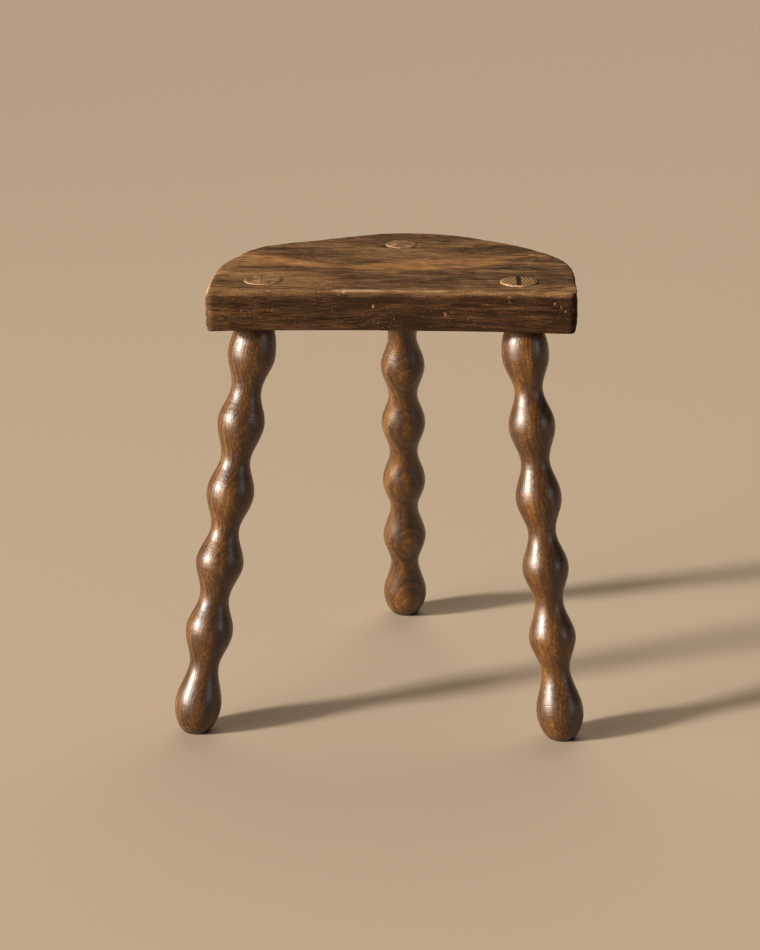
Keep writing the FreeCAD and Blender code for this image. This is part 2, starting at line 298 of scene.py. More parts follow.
def turned_leg_wood():
    """Turned hardwood, stained and varnished: faint growth layers cut into ovals by the bobbins, dark flecks
    along the leg, fine rings left by the tool, a clear glossy coat, and painted shade where the foot meets
    the floor."""
    material, add, finish = new_material("varnished_turned_hardwood")
    place = add("ShaderNodeAttribute", attribute_name="turning")["Vector"]

    # Flecks about 9 mm long, bent a little along the leg
    drawn_out = add("ShaderNodeMapping", {"Vector": place, "Scale": (1, 1, 0.22)})[0]
    bend = add("ShaderNodeTexNoise", {"Vector": drawn_out, "Scale": 1 / FLECK_BEND, "Detail": 1.5})["Color"]
    swing = add("ShaderNodeVectorMath", {0: bend, 1: (0.5, 0.5, 0.5)}, operation="SUBTRACT")[0]
    moved = add("ShaderNodeVectorMath", {0: swing, 1: [FLECK_SWAY] * 3, 2: place},
                operation="MULTIPLY_ADD")[0]
    fleck_grain = add("ShaderNodeMapping", {"Vector": moved, "Scale": (1, 1, 0.14)})[0]
    flecks = add("ShaderNodeTexNoise", {"Vector": fleck_grain, "Scale": 1 / FLECK, "Detail": 3,
                                        "Roughness": 0.7})[0]
    pores = add("ShaderNodeMapRange", {"Value": flecks, "From Min": 0.52, "From Max": 0.62,
                                       "To Max": 0.85})[0]
    # Yearly layers, wavering a little, which the bobbins cut into ovals
    layer = add("ShaderNodeAttribute", attribute_name="layer")["Fac"]
    drift = add("ShaderNodeTexNoise", {"Vector": drawn_out, "Scale": 1 / YEAR_DRIFT, "Detail": 2})[0]
    waver = add("ShaderNodeMapRange", {"Value": drift, "To Min": -YEAR_WAVER, "To Max": YEAR_WAVER})[0]
    depth = add("ShaderNodeMath", {0: layer, 1: waver}, operation="ADD")[0]
    years = add("ShaderNodeTexNoise", {"W": depth, "Scale": 1 / YEAR, "Detail": 2, "Roughness": 0.6},
                noise_dimensions="1D")[0]
    bands = add("ShaderNodeMapRange", {"Value": years, "From Min": 0.38, "From Max": 0.60})[0]
    # Blotches of stain, and specks where the varnish is worn
    blotches = add("ShaderNodeTexNoise", {"Vector": drawn_out, "Scale": 1 / BLOTCH, "Detail": 5,
                                          "Roughness": 0.65})[0]
    specks = add("ShaderNodeTexNoise", {"Vector": place, "Scale": 1 / VARNISH_SPECK, "Detail": 3,
                                        "Roughness": 0.7})[0]
    grain = add("ShaderNodeMix", {"Factor": 0.5, "A": blotches, "B": flecks})[0]
    figured = add("ShaderNodeAttribute", attribute_name="figured")["Fac"]
    layered = add("ShaderNodeMix", {"Factor": figured, "A": grain, "B": bands})[0]
    figure = add("ShaderNodeMix", {"Factor": 0.25, "A": layered, "B": specks})[0]
    wood = add("ShaderNodeValToRGB", {"Fac": figure},
               stops=[(0.38, "#1B0C02"), (0.45, "#361F09"), (0.53, "#55340D"), (0.62, "#825A1F")])["Color"]
    pored = add("ShaderNodeMix", {"Factor": pores, "A": wood, "B": linear("#1E0D03")}, data_type="RGBA")[2]
    # Painted contact shade where the foot meets the floor
    floor_height = add("ShaderNodeSeparateXYZ", {0: add("ShaderNodeTexCoord")["Object"]})["Z"]
    painted_shade_share = add("ShaderNodeMapRange", {"Value": floor_height, "From Min": FOOT_SHADE_HIGH,
                                       "From Max": FOOT_SHADE_LOW, "To Max": 0.8})[0]
    colour = add("ShaderNodeMix", {"Factor": painted_shade_share, "A": pored, "B": linear("#150A03")}, data_type="RGBA")[2]

    # Rings of the tool, with the flecks as pits
    along = add("ShaderNodeSeparateXYZ", {0: place})["Z"]
    rings = add("ShaderNodeTexNoise", {"W": along, "Scale": 1 / FINE_RING, "Detail": 1},
                noise_dimensions="1D")[0]
    ringed = add("ShaderNodeMath", {0: rings, 1: 1.1}, operation="MULTIPLY")[0]
    relief = add("ShaderNodeMath", {0: ringed, 1: pores}, operation="SUBTRACT")[0]
    bump = add("ShaderNodeBump", {"Height": relief, "Strength": 0.32, "Distance": LEG_RELIEF})[0]
    rough = add("ShaderNodeMapRange", {"Value": flecks, "To Min": 0.45, "To Max": 0.65})[0]
    finish({"Base Color": colour, "Roughness": rough, "Normal": bump, "Coat Normal": bump, "IOR": 1.45,
            "Specular IOR Level": 0.15, "Coat Weight": 0.9, "Coat Roughness": 0.33, "Coat IOR": 1.52})
    return material


# Sawn ends: the marks of the saw, and where along X they start and the right-hand leg's end begins
SAW_PITCH = 3.4 * MM
SAW_SLANT = -0.245             # radians
WAVE_REPEAT = 0.314            # distance at which a wave texture of scale 1 repeats
END_SPECK = 8 * MM
END_RELIEF = 0.3 * MM
SAWN_FROM = 112 * MM
SAWN_FULL = 140 * MM
RIGHT_FROM = 60 * MM
RIGHT_FULL = 100 * MM


def sawn_end_grain(name, stops, right_shade):
    """Sawn end grain: dull and speckled, with a pale rubbed rim; the right-hand leg keeps the marks of the
    saw and its wedge is darker, and the other ends are rubbed smooth."""
    material, add, finish = new_material(name)
    place = add("ShaderNodeTexCoord")["Object"]
    slanted = add("ShaderNodeMapping", {"Vector": place, "Rotation": (0, 0, SAW_SLANT)})[0]
    saw = add("ShaderNodeTexWave", {"Vector": slanted, "Scale": WAVE_REPEAT / SAW_PITCH, "Distortion": 1.2,
                                    "Detail": 2, "Detail Scale": 3}, bands_direction="X")["Fac"]
    specks = add("ShaderNodeTexNoise", {"Vector": place, "Scale": 1 / END_SPECK, "Detail": 5,
                                        "Roughness": 0.7})[0]
    side = add("ShaderNodeSeparateXYZ", {0: place})["X"]
    sawn = add("ShaderNodeMapRange", {"Value": side, "From Min": SAWN_FROM, "From Max": SAWN_FULL,
                                      "To Max": 0.6})[0]
    figure = add("ShaderNodeMix", {"Factor": sawn, "A": specks, "B": saw})[0]
    end = add("ShaderNodeValToRGB", {"Fac": figure}, stops=stops)["Color"]
    on_right = add("ShaderNodeMapRange", {"Value": side, "From Min": RIGHT_FROM, "From Max": RIGHT_FULL})[0]
    shaded = add("ShaderNodeMix", {"Factor": on_right, "A": end, "B": linear(right_shade)}, data_type="RGBA",
                 blend_type="MULTIPLY")[2]
    facing = add("ShaderNodeNewGeometry")["Normal"]
    upward = add("ShaderNodeSeparateXYZ", {0: facing})["Z"]
    rim = add("ShaderNodeMapRange", {"Value": upward, "From Min": 0.97, "From Max": 0.8, "To Max": 0.9})[0]
    colour = add("ShaderNodeMix", {"Factor": rim, "A": shaded, "B": linear("#B0936C")}, data_type="RGBA")[2]
    bump = add("ShaderNodeBump", {"Height": figure, "Strength": 0.4, "Distance": END_RELIEF})[0]
    finish({"Base Color": colour, "Normal": bump, "Roughness": 0.6, "Specular IOR Level": 0.3})
    return material


# Legs and wedges

def new_tree(name, inputs, output):
    """A Geometry Nodes tree with inputs listed by kind, its node adder and its input sockets."""
    tree = bpy.data.node_groups.new(name, "GeometryNodeTree")
    for kind, labels in inputs.items():
        for label in labels:
            tree.interface.new_socket(label, in_out="INPUT", socket_type="NodeSocket" + kind)
    tree.interface.new_socket(output, in_out="OUTPUT", socket_type="NodeSocketGeometry")
    add = partial(node, tree)
    return tree, add, add("NodeGroupInput")


def leg_lean(add, given):
    """Length of the leg, the turn that leans it, the turn back, and the way up as seen by the upright leg."""
    line = add("ShaderNodeVectorMath", {0: given["Top"], 1: given["Foot"]}, operation="SUBTRACT")[0]
    length = add("ShaderNodeVectorMath", {0: line}, operation="LENGTH")["Value"]
    lean = add("FunctionNodeAlignRotationToVector", {"Vector": line}, axis="Z")[0]
    upright = add("FunctionNodeInvertRotation", {0: lean})[0]
    up = add("FunctionNodeRotateVector", {"Vector": (0, 0, 1), "Rotation": upright})[0]
    return length, lean, upright, up


def stood(add, given, lean, place):
    """A place on the upright leg, put on the leg's lean and its foot."""
    leaning = add("FunctionNodeRotateVector", {"Vector": place, "Rotation": lean})[0]
    return add("ShaderNodeVectorMath", {0: leaning, 1: given["Foot"]}, operation="ADD")[0]


def turned_leg_tree():
    """A leg turned between floor and seat: egg foot, bobbins, round tenon, kerf, all placed on its lean."""
    tree, add, given = new_tree("turned_leg", {
        "Vector": ["Foot", "Top", "Heart"],
        "Float": ["Mouth", "Tenon Radius", "Bobbin Radius", "Neck Radius", "Half Turns", "Foot Rise",
                  "Foot Bottom", "Start", "Foot Neck", "Highest", "Proud", "Bow", "Slim", "Kerf Head",
                  "Kerf Tip", "Kerf Depth", "Kerf Turn", "Figured", "Seed"],
        "Material": ["Varnished", "End Grain"]}, "Leg")
    length, lean, upright, up = leg_lean(add, given)
    up_z = add("ShaderNodeSeparateXYZ", {0: up})["Z"]

    blank = add("GeometryNodeMeshCylinder", {"Vertices": 72, "Side Segments": 600, "Fill Segments": 24,
                                             "Radius": 1.0, "Depth": 1.0}, fill_type="TRIANGLE_FAN")["Mesh"]
    place = add("GeometryNodeInputPosition")[0]
    x, y, z = add("ShaderNodeSeparateXYZ", {0: place})
    round_place = add("ShaderNodeVectorMath", {0: place, 1: (1, 1, 0)}, operation="MULTIPLY")[0]

    # Height along the leg, sheared near the top so that the end comes out level with the seat
    end = add("ShaderNodeMath", {0: length, 1: given["Proud"]}, operation="ADD")[0]
    even = add("ShaderNodeMapRange", {"Value": z, "From Min": -0.5, "From Max": 0.5, "To Min": given["Start"],
                                      "To Max": end})[0]
    across = add("ShaderNodeVectorMath", {0: round_place, 1: up}, operation="DOT_PRODUCT")["Value"]
    slope = add("ShaderNodeMath", {0: given["Tenon Radius"], 1: up_z}, operation="DIVIDE")[0]
    tilt = add("ShaderNodeMath", {0: across, 1: slope}, operation="MULTIPLY")[0]
    sheared = add("ShaderNodeMapRange", {"Value": even, "From Min": given["Mouth"], "From Max": length,
                                         "To Max": tilt}, interpolation_type="SMOOTHSTEP")[0]
    height = add("ShaderNodeMath", {0: even, 1: sheared}, operation="SUBTRACT")[0]

    # Radius: egg-shaped foot, long slope to the lowest neck, bobbins, easing into the tenon
    pear = add("ShaderNodeMapRange", {"Value": height, "From Min": given["Foot Rise"],
                                      "From Max": given["Foot Neck"], "To Max": math.pi})[0]
    turns = add("ShaderNodeMapRange", {"Value": height, "From Min": given["Foot Neck"],
                                       "From Max": given["Highest"], "To Max": given["Half Turns"]})[0]
    phase = add("ShaderNodeMath", {0: turns, 1: math.pi, 2: pear}, operation="MULTIPLY_ADD")[0]
    wave = add("ShaderNodeMath", {0: phase}, operation="COSINE")[0]
    swells = add("ShaderNodeMapRange", {"Value": wave, "From Min": -1.0, "From Max": 1.0,
                                        "To Min": given["Neck Radius"], "To Max": given["Bobbin Radius"]})[0]
    run = add("ShaderNodeMapRange", {"Value": height, "From Min": given["Highest"],
                                     "From Max": given["Mouth"]})[0]
    easing = add("ShaderNodeMath", {0: run, 1: 2.0}, operation="POWER")[0]
    upper = add("ShaderNodeMix", {"Factor": easing, "A": swells, "B": given["Tenon Radius"]})[0]
    sunk = add("ShaderNodeMapRange", {"Value": height, "From Min": given["Foot Rise"],
                                      "From Max": given["Foot Bottom"]})[0]
    sunk_squared = add("ShaderNodeMath", {0: sunk, 1: 2.0}, operation="POWER")[0]
    left_over = add("ShaderNodeMath", {0: 1.0, 1: sunk_squared}, operation="SUBTRACT")[0]
    egg = add("ShaderNodeMath", {0: left_over}, operation="SQRT")[0]
    profile = add("ShaderNodeMath", {0: upper, 1: egg}, operation="MULTIPLY")[0]

    # Turned by eye: the bobbins differ, the middle bows a little, and the tool leaves fine rings
    share = add("ShaderNodeMath", {0: height, 1: length}, operation="DIVIDE")[0]
    half_turn = add("ShaderNodeMath", {0: share, 1: math.pi}, operation="MULTIPLY")[0]
    arch = add("ShaderNodeMath", {0: half_turn}, operation="SINE")[0]
    slim = add("ShaderNodeMath", {0: arch, 1: given["Slim"]}, operation="MULTIPLY")[0]
    bow = add("ShaderNodeMath", {0: arch, 1: given["Bow"]}, operation="MULTIPLY")[0]
    seeded = add("ShaderNodeMath", {0: given["Seed"], 1: 0.37, 2: height}, operation="MULTIPLY_ADD")[0]
    by_eye = add("ShaderNodeTexNoise", {"W": seeded, "Scale": 1 / STRAY_RUN, "Detail": 1},
                 noise_dimensions="1D")[0]
    rings = add("ShaderNodeTexNoise", {"W": seeded, "Scale": 1 / TOOL_RING_PITCH, "Detail": 0},
                noise_dimensions="1D")[0]
    large = add("ShaderNodeMapRange", {"Value": by_eye, "To Min": -STRAY, "To Max": STRAY})[0]
    small = add("ShaderNodeMapRange", {"Value": rings, "To Min": -TOOL_RING, "To Max": TOOL_RING})[0]
    uneven = add("ShaderNodeMath", {0: large, 1: small}, operation="ADD")[0]
    # Knocks and chips low on the foot
    around = add("ShaderNodeVectorMath", {0: round_place, "Scale": FOOT_RADIUS}, operation="SCALE")[0]
    lifted = add("ShaderNodeCombineXYZ", {"Z": seeded})[0]
    knock_place = add("ShaderNodeVectorMath", {0: around, 1: lifted}, operation="ADD")[0]
    knocks = add("ShaderNodeTexNoise", {"Vector": knock_place, "Scale": 1 / FOOT_CHIP_SIZE, "Detail": 2})[0]
    low = add("ShaderNodeMapRange", {"Value": height, "From Min": FOOT_CHIPS_FROM,
                                     "From Max": FOOT_CHIPS_FULL, "To Max": -FOOT_CHIP})[0]
    chips = add("ShaderNodeMapRange", {"Value": knocks, "From Min": 0.56, "From Max": 0.66, "To Max": low})[0]
    less = add("ShaderNodeMath", {0: chips, 1: slim}, operation="SUBTRACT")[0]
    changes = add("ShaderNodeMath", {0: uneven, 1: less}, operation="ADD")[0]
    below_seat = add("ShaderNodeMapRange", {"Value": height, "From Min": given["Mouth"],
                                            "From Max": given["Highest"]})[0]
    radius = add("ShaderNodeMath", {0: changes, 1: below_seat, 2: profile}, operation="MULTIPLY_ADD")[0]

    # The rim of the end is rubbed round
    out = add("ShaderNodeVectorMath", {0: round_place}, operation="LENGTH")["Value"]
    rim = add("ShaderNodeMath", {0: out, 1: 16.0}, operation="POWER")[0]
    near_end = add("ShaderNodeMapRange", {"Value": even, "From Min": length, "From Max": end})[0]
    rim_at_end = add("ShaderNodeMath", {0: rim, 1: near_end}, operation="MULTIPLY")[0]
    final_height = add("ShaderNodeMath", {0: rim_at_end, 1: -END_RUB, 2: height}, operation="MULTIPLY_ADD")[0]

    # Stood on its lean and cut level at the floor
    spread = add("ShaderNodeVectorMath", {0: round_place, "Scale": radius}, operation="SCALE")[0]
    raised = add("ShaderNodeCombineXYZ", {"X": bow, "Z": final_height})[0]
    own = add("ShaderNodeVectorMath", {0: spread, 1: raised}, operation="ADD")[0]
    standing = stood(add, given, lean, own)
    grounded = add("ShaderNodeVectorMath", {0: standing, 1: (-FAR, -FAR, 0)}, operation="MAXIMUM")[0]
    turned = add("GeometryNodeSetPosition", {"Geometry": blank, "Position": grounded})[0]

    # Saw kerf across the tenon, opened by the wedge
    block = add("GeometryNodeMeshCube", {"Size": (1, 1, 1)})["Mesh"]
    opening = add("ShaderNodeMapRange", {"Value": z, "From Min": -0.5, "From Max": 0.5,
                                         "To Min": given["Kerf Tip"], "To Max": given["Kerf Head"]})[0]
    kerf_low = add("ShaderNodeMath", {0: length, 1: given["Kerf Depth"]}, operation="SUBTRACT")[0]
    kerf_high = add("ShaderNodeMath", {0: length, 1: KERF_OVER}, operation="ADD")[0]
    kerf_height = add("ShaderNodeMapRange", {"Value": z, "From Min": -0.5, "From Max": 0.5,
                                             "To Min": kerf_low, "To Max": kerf_high})[0]
    kerf_x = add("ShaderNodeMath", {0: x, 1: opening}, operation="MULTIPLY")[0]
    kerf_y = add("ShaderNodeMath", {0: y, 1: KERF_WIDTH}, operation="MULTIPLY")[0]
    slot = add("ShaderNodeCombineXYZ", {"X": kerf_x, "Y": kerf_y, "Z": kerf_height})[0]
    twisted = add("ShaderNodeVectorRotate", {"Vector": slot, "Angle": given["Kerf Turn"]},
                  rotation_type="Z_AXIS")[0]
    slot_place = stood(add, given, lean, twisted)
    cutter = add("GeometryNodeSetPosition", {"Geometry": block, "Position": slot_place})[0]
    kerfed = add("GeometryNodeMeshBoolean", {"Mesh 1": turned, "Mesh 2": cutter}, operation="DIFFERENCE",
                 solver="MANIFOLD")["Mesh"]

    # Each point's place on the upright leg, for the grain; the seed moves it to another part of the tree
    final = add("GeometryNodeInputPosition")[0]
    from_foot = add("ShaderNodeVectorMath", {0: final, 1: given["Foot"]}, operation="SUBTRACT")[0]
    on_leg = add("FunctionNodeRotateVector", {"Vector": from_foot, "Rotation": upright})[0]
    moved = add("ShaderNodeVectorMath", {0: (0.31, 0.17, 0.53), 1: given["Seed"], 2: on_leg},
                operation="MULTIPLY_ADD")[0]
    made = add("GeometryNodeStoreNamedAttribute", {"Geometry": kerfed, "Name": "turning", "Value": moved},
               data_type="FLOAT_VECTOR", domain="POINT")[0]
    # Its distance from the heart of the tree, for the yearly layers
    from_heart = add("ShaderNodeVectorMath", {0: on_leg, 1: given["Heart"]}, operation="SUBTRACT")[0]
    level_gap = add("ShaderNodeVectorMath", {0: from_heart, 1: (1, 1, 0)}, operation="MULTIPLY")[0]
    layer = add("ShaderNodeVectorMath", {0: level_gap}, operation="LENGTH")["Value"]
    for label, value in [("layer", layer), ("figured", given["Figured"])]:
        made = add("GeometryNodeStoreNamedAttribute", {"Geometry": made, "Name": label, "Value": value},
                   data_type="FLOAT", domain="POINT")[0]
    made = add("GeometryNodeRealizeInstances", {0: made})[0]
    made = add("GeometryNodeSetShadeSmooth", {"Geometry": made})[0]
    made = add("GeometryNodeSetMaterial", {"Geometry": made, "Material": given["Varnished"]})[0]
    final_z = add("ShaderNodeSeparateXYZ", {0: final})["Z"]
    on_end = add("ShaderNodeMath", {0: final_z, 1: SEAT_TOP - END_GRAIN}, operation="GREATER_THAN")[0]
    made = add("GeometryNodeSetMaterial", {"Geometry": made, "Selection": on_end,
                                           "Material": given["End Grain"]})[0]
    add("NodeGroupOutput", {0: made})
    return tree


def driven_wedge_tree():
    """A wedge driven into the kerf: tapered, round at its ends as the tenon is, level with the seat."""
    tree, add, given = new_tree("driven_wedge", {
        "Vector": ["Foot", "Top"],
        "Float": ["Tenon Radius", "Head", "Tip", "Depth", "Turn", "Proud"],
        "Material": ["Material"]}, "Wedge")
    length, lean, _, up = leg_lean(add, given)
    up_z = add("ShaderNodeSeparateXYZ", {0: up})["Z"]

    blank = add("GeometryNodeMeshCube", {"Size": (1, 1, 1), "Vertices X": 7, "Vertices Y": 33,
                                         "Vertices Z": 12})["Mesh"]
    place = add("GeometryNodeInputPosition")[0]
    x, y, z = add("ShaderNodeSeparateXYZ", {0: place})
    thick = add("ShaderNodeMapRange", {"Value": z, "From Min": -0.5, "From Max": 0.5, "To Min": given["Tip"],
                                       "To Max": given["Head"]})[0]
    # Across the tenon, as long as the tenon is wide there
    across = add("ShaderNodeMath", {0: x, 1: thick}, operation="MULTIPLY")[0]
    off_axis = add("ShaderNodeMath", {0: across, 1: given["Tenon Radius"]}, operation="DIVIDE")[0]
    angle = add("ShaderNodeMath", {0: off_axis}, operation="ARCSINE")[0]
    chord_share = add("ShaderNodeMath", {0: angle}, operation="COSINE")[0]
    chord = add("ShaderNodeMath", {0: chord_share, 1: given["Tenon Radius"]}, operation="MULTIPLY")[0]
    near_full = add("ShaderNodeMath", {0: y, 1: 2 * WEDGE_SHARE}, operation="MULTIPLY")[0]
    along = add("ShaderNodeMath", {0: near_full, 1: chord}, operation="MULTIPLY")[0]
    flat = add("ShaderNodeCombineXYZ", {"X": across, "Y": along})[0]
    twisted = add("ShaderNodeVectorRotate", {"Vector": flat, "Angle": given["Turn"]},
                  rotation_type="Z_AXIS")[0]
    # Head level with the seat and bruised by the mallet
    offset = add("ShaderNodeVectorMath", {0: twisted, 1: up}, operation="DOT_PRODUCT")["Value"]
    tilt = add("ShaderNodeMath", {0: offset, 1: up_z}, operation="DIVIDE")[0]
    bruised = add("ShaderNodeTexNoise", {"Vector": twisted, "Scale": 1 / WEDGE_BRUISE_SIZE, "Detail": 1})[0]
    bruise = add("ShaderNodeMapRange", {"Value": bruised, "To Min": -WEDGE_BRUISE, "To Max": WEDGE_BRUISE})[0]
    reach = add("ShaderNodeMath", {0: length, 1: given["Proud"]}, operation="ADD")[0]
    head = add("ShaderNodeMath", {0: reach, 1: bruise}, operation="ADD")[0]
    level_head = add("ShaderNodeMath", {0: head, 1: tilt}, operation="SUBTRACT")[0]
    tip = add("ShaderNodeMath", {0: length, 1: given["Depth"]}, operation="SUBTRACT")[0]
    height = add("ShaderNodeMapRange", {"Value": z, "From Min": -0.5, "From Max": 0.5, "To Min": tip,
                                        "To Max": level_head})[0]
    lifted = add("ShaderNodeCombineXYZ", {"Z": height})[0]
    own = add("ShaderNodeVectorMath", {0: twisted, 1: lifted}, operation="ADD")[0]
    standing = stood(add, given, lean, own)
    made = add("GeometryNodeSetPosition", {"Geometry": blank, "Position": standing})[0]
    made = add("GeometryNodeRealizeInstances", {0: made})[0]
    made = add("GeometryNodeSetShadeSmooth", {"Geometry": made})[0]
    made = add("GeometryNodeSetMaterial", {"Geometry": made, "Material": given["Material"]})[0]
    add("NodeGroupOutput", {0: made})
    return tree


def grown(name, tree, values):
    """Run a Geometry Nodes tree with these inputs and keep its result as a plain mesh object."""
    piece = bpy.data.objects.new(name, bpy.data.meshes.new(name))
    bpy.context.scene.collection.objects.link(piece)
    modifier = piece.modifiers.new(tree.name, "NODES")
    modifier.node_group = tree
    sockets = {item.name: item.identifier for item in tree.interface.items_tree if item.in_out == "INPUT"}
    for label, value in values.items():
        modifier[sockets[label]] = value
    depsgraph = bpy.context.evaluated_depsgraph_get()
    mesh = bpy.data.meshes.new_from_object(piece.evaluated_get(depsgraph), preserve_all_data_layers=True,
                                           depsgraph=depsgraph)
    piece.modifiers.clear()
    piece.data = mesh
    mesh.name = name
    if mesh.materials[0] is None:
        mesh.materials.pop(index=0)
    mesh.set_sharp_from_angle(angle=SHARP_TURNING)
    return piece


def leg_line(name):
    """Foot, top and the height along the leg at which it goes into the seat."""
    x, y = LEGS[name]["top"]
    foot = MOUNTS["foot_" + name]
    top = Vector((x * MM, y * MM, SEAT_TOP))
    line = top - foot
    lean = line.angle(Vector((0, 0, 1)))
    mouth = line.length * SEAT_UNDER / SEAT_TOP - LEGS[name]["tenon"] / 2 * MM * math.tan(lean)
    return foot, top, mouth


def legs_and_wedges(leg_wood, end_wood, wedge_wood):
    """All the legs and wedges, by the name of the node that each stands for."""
    pieces = {}
    turned = turned_leg_tree()
    driven = driven_wedge_tree()
    foot_bottom = FOOT_RISE - FOOT_RISE / math.sqrt(1 - (FOOT_FLAT / BOBBIN) ** 2)
    for name, leg in LEGS.items():
        foot, top, mouth = leg_line(name)
        shared = {"Foot": foot, "Top": top, "Tenon Radius": leg["tenon"] / 2 * MM}
        turn = math.radians(leg["turn"])
        proud = leg["proud"] * MM
        pieces["leg_" + name] = grown("turned_leg_" + name, turned, {
            **shared, "Mouth": mouth, "Bobbin Radius": BOBBIN / 2, "Neck Radius": NECK / 2,
            "Half Turns": HALF_TURNS, "Foot Rise": FOOT_RISE, "Foot Bottom": foot_bottom,
            "Start": BLANK_START * foot_bottom, "Foot Neck": FOOT_NECK, "Highest": mouth - TOP_RUN,
            "Proud": proud, "Bow": leg["bow"] * MM, "Slim": leg["slim"] * MM,
            "Kerf Head": WEDGE_HEAD + 2 * KERF_GAP, "Kerf Tip": WEDGE_TIP + 2 * KERF_GAP,
            "Kerf Depth": WEDGE_LENGTH + KERF_ROOM, "Kerf Turn": turn,
            "Heart": Vector((*leg["heart"], 0)) * MM, "Figured": leg["figured"], "Seed": float(leg["seed"]),
            "Varnished": leg_wood, "End Grain": end_wood})
        pieces["wedge_" + name] = grown("driven_wedge_" + name, driven, {
            **shared, "Head": WEDGE_HEAD, "Tip": WEDGE_TIP, "Depth": WEDGE_LENGTH, "Turn": turn,
            "Proud": proud - WEDGE_SINK, "Material": wedge_wood})
    return pieces


# Seat

# Points round the outline, and rows from the middle of the top, over its arris, down the wall and under
SEAT_AROUND = 960
TOP_ROWS = 46
ARRIS_ROWS = 13
WALL_ROWS = 25
UNDER_ARRIS_ROWS = 6
UNDER_ROWS = 12
# Rounding of the arrises in mm: everywhere, then more at the front, the left end, the right end and by chance
TOP_IN = np.array([3.2, 2.8, 4.0, -0.8, 0.5])
TOP_DOWN = np.array([3.4, 4.8, 6.0, -0.8, 0.8])
UNDER_IN = np.array([1.4, 0, 2.6, 3.4, 0])
UNDER_UP = np.array([1.4, 0, 5.6, 3.0, 0])
ROUND_RISE = 0.25 * MM         # how fast the rounding may grow from point to point
CORNER_SHARE = 0.55            # share of a corner's own radius that the rounding may take
ON_WALL = 0.05 * MM            # the solid's points this near to the foot of its arris are on its wall
SAME_POINT = 0.01 * MM         # and those nearer to each other than this are one
SHARP_PLANK = math.radians(50)

# Unevenness of the plank, with its wavelengths along X, Y and Z
PLANED = 0.20 * MM
PLANED_WAVES = (160 * MM, 70 * MM, 70 * MM)
RAISED_GRAIN = 0.10 * MM
RAISED_GRAIN_WAVES = (220 * MM, 9 * MM, 9 * MM)
WALL_TOOLED = 0.16 * MM
WALL_TOOLED_WAVES = (120 * MM, 12 * MM, 6 * MM)
ROUND_WAVES = (90 * MM, 90 * MM, 90 * MM)
DISH = 0.8 * MM                # the top is dished by use
DISH_REACH = (150 * MM, 100 * MM)
BORE_RIM = 0.5 * MM            # the rim of each bore is softened
BORE_RIM_REACH = 1.2 * MM

# Knocks on the front: place along X and Z, radius and depth, all in mm
FRONT_KNOCKS = [
    (-133, 432, 1.4, 0.7), (-128, 431, 1.1, 0.5), (-103, 432, 1.0, 0.5), (-59, 448, 1.2, 0.6),
    (-35, 448, 1.6, 0.9), (-6, 434, 1.4, 0.8), (124, 445, 1.3, 0.9), (124, 440, 1.3, 0.7),
    (63, 427, 1.7, 0.7), (68, 429, 1.2, 0.6), (167, 439, 1.3, 0.8), (173, 436, 1.6, 0.8),
    (178, 432, 1.2, 0.7), (185, 434, 1.1, 0.6), (-107, 449, 1.3, 0.6), (189, 447, 3.2, 1.8),
    (-167, 421, 4.0, 1.2), (-167, 412, 7.0, 3.4), (190, 411, 5.0, 2.2),
]
# Knocks on the top: place along X and Y, radius and depth
TOP_KNOCKS = [
    (-150, -32, 2.0, 0.8), (-116, -126, 1.8, 0.6), (-116, -84, 2.2, 0.3), (3, 48, 3.0, 0.8),
    (-159, -61, 5.0, 0.9), (-145, 10, 9.0, 1.0),
]
FRONT_REACH = 90 * MM          # the front is what lies further forward of the seat's middle than this
ARRIS_FROM = 440               # height in mm from which the front curves back
ARRIS_CURVE = 0.04             # by this many mm for each square mm above that height

# Bands along the plank's top: half width in mm, strength, and points along X and Y
WARM_BANDS = [
    (10, 1.0, [(-150, 15), (-128, 7), (-104, -6), (-81, -23), (-60, -32), (-28, -36), (45, -34)]),
    (8, 0.8, [(4, -14), (41, -13), (64, -10), (94, -7), (116, -1), (142, 13), (160, 12)]),
    (4, 0.7, [(-59, -51), (-20, -52), (14, -53)]),
    (6, 0.7, [(44, -41), (88, -27), (118, -15)]),
    (45, 0.27, [(-150, -20), (-140, -90), (-80, -100)]),
]
STAINS_AND_SHADE = [
    (12, 0.8, [(-120, 37), (-84, 38), (-53, 33)]),
    (11, 0.7, [(64, 66), (115, 54)]),
    (9, 0.7, [(118, -38), (168, -42)]),
    (11, 0.8, [(58, -74), (88, -78), (115, -82)]),
    (14, 0.7, [(150, -86), (182, -76)]),
    (7, 0.7, [(24, -57), (55, -64)]),
    (7, 0.6, [(-145, -58), (-115, -60)]),
    # A broad painted shade over the right end, away from the light
    (55, 0.5, [(160, -60), (140, 20)]),
    (30, 0.3, [(85, -95), (125, -95)]),
]
TOP_SKIN = 6 * MM              # the bands and stains stay within about this depth of the top

# The bright line along the front arris, partly rubbed bare wood and partly a painted highlight: how clear it
# is at places along X in mm, and where it runs
RUB_GLINT_CLEAR = [(-166, 0.25), (-70, 0.45), (-45, 1.0), (85, 0.9), (110, 0.15), (190, 0.2)]
RUB_GLINT_BREAKS = (30 * MM, 300 * MM, 300 * MM)
RUB_GLINT_IN = 3.2 * MM
RUB_GLINT_WIDTH = 1.6 * MM
RUB_GLINT_DOWN = 3.0 * MM
# The soft rub over the front, the painted highlight along the left end's rim, and the rub at the left end
SOFT_IN = 8 * MM
SOFT_DOWN = 6 * MM
LEFT_HIGHLIGHT_IN = 1.5 * MM
LEFT_HIGHLIGHT_WIDTH = 2.0 * MM
LEFT_HIGHLIGHT_DOWN = 7 * MM
LEFT_RUB_IN = 11 * MM
LEFT_RUB_FROM = 30 * MM        # along -Y
LEFT_RUB_FULL = 60 * MM
# A chip this deep and no wider than this shows pale wood
PALE_DEPTH = 1.0 * MM
PALE_SIZE = 2.2 * MM


